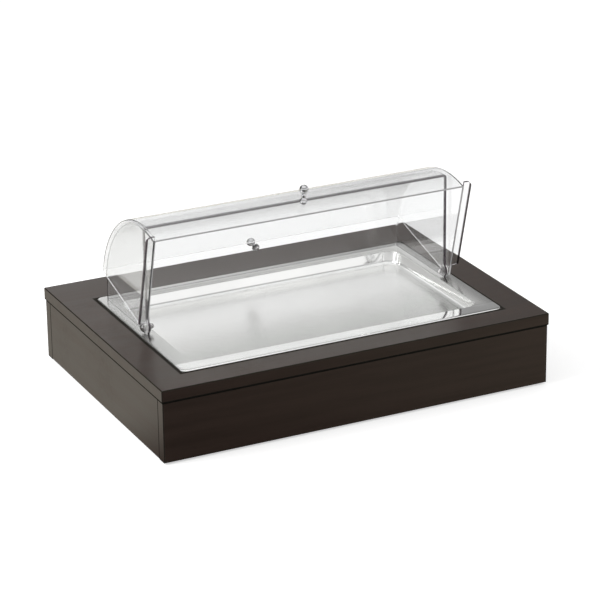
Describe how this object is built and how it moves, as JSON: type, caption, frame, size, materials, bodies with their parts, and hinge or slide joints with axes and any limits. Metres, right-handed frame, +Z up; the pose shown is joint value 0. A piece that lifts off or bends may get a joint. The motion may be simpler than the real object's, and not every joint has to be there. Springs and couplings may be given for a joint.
{
  "type": "refrigerated buffet tray",
  "caption": "Cooled buffet tray: dark wooden box with cold packs under a shallow steel tray, and a clear roll-top hood of two pivoting covers with ball knobs.",
  "frame": {"origin": "under the middle of the wooden box, on the surface that its feet stand on", "axes": "+X along the box's long side to the right, +Y to the rear, +Z up; the front cover opens over the rear one"},
  "size_m": [0.635, 0.455, 0.3153],
  "materials": {
    "dark_wood": "satin dark brown lacquer",
    "raw_wood": "planed, bare",
    "hardboard": "pressed board, bare",
    "zinc_steel": "zinc plated",
    "foot_plastic": "moulded, matt",
    "foam": "moulded bead foam",
    "liner_plastic": "thermoformed, smooth",
    "pack_plastic": "blow moulded",
    "cap_plastic": "moulded",
    "stainless_steel": "brushed floor, polished rim",
    "clear_plastic": "clear, polished",
    "bush_plastic": "turned",
    "bright_steel": "bright",
    "chromed_metal": "mirror chrome"
  },
  "bodies": {
    "base": {"front_board": "dark_wood", "rear_board": "dark_wood", "left_board": "dark_wood", "right_board": "dark_wood", "board_dowels": "raw_wood", "bottom_board": "hardboard", "corner_blocks": "raw_wood", "block_screws": "zinc_steel", "slab_screws": "zinc_steel", "top_frame": "dark_wood", "feet": "foot_plastic", "foot_screws": "zinc_steel", "well_bearers": "raw_wood", "foam_insulation": "foam", "well_liner": "liner_plastic", "cold_pack_left": "pack_plastic", "cold_pack_right": "pack_plastic", "cold_pack_caps": "cap_plastic"},
    "tray": {"steel_tray": "stainless_steel"},
    "hood": {"rear_cover": "clear_plastic", "pivot_bush_left": "bush_plastic", "pivot_bush_right": "bush_plastic", "pivot_screw_left": "bright_steel", "pivot_screw_right": "bright_steel", "cap_nut_left": "bright_steel", "cap_nut_right": "bright_steel", "pivot_washers": "bright_steel", "rear_knob": "chromed_metal", "rear_knob_washer": "bright_steel", "rear_knob_screw": "bright_steel"},
    "front_lid": {"front_cover": "clear_plastic", "front_knob": "chromed_metal", "front_knob_washer": "bright_steel", "front_knob_screw": "bright_steel"}
  },
  "joints": [
    {"name": "tray_lift", "type": "slide", "parent": "base", "child": "tray", "axis": [0, 0, 1], "range_m": [0, 0.08]},
    {"name": "hood_lift", "type": "slide", "parent": "tray", "child": "hood", "axis": [0, 0, 1], "range_m": [0, 0.12]},
    {"name": "front_cover_hinge", "type": "hinge", "parent": "hood", "child": "front_lid", "pos_m": [0, -0.022, 0.128], "axis": [1, 0, 0], "range_deg": [0, 75]}
  ]
}
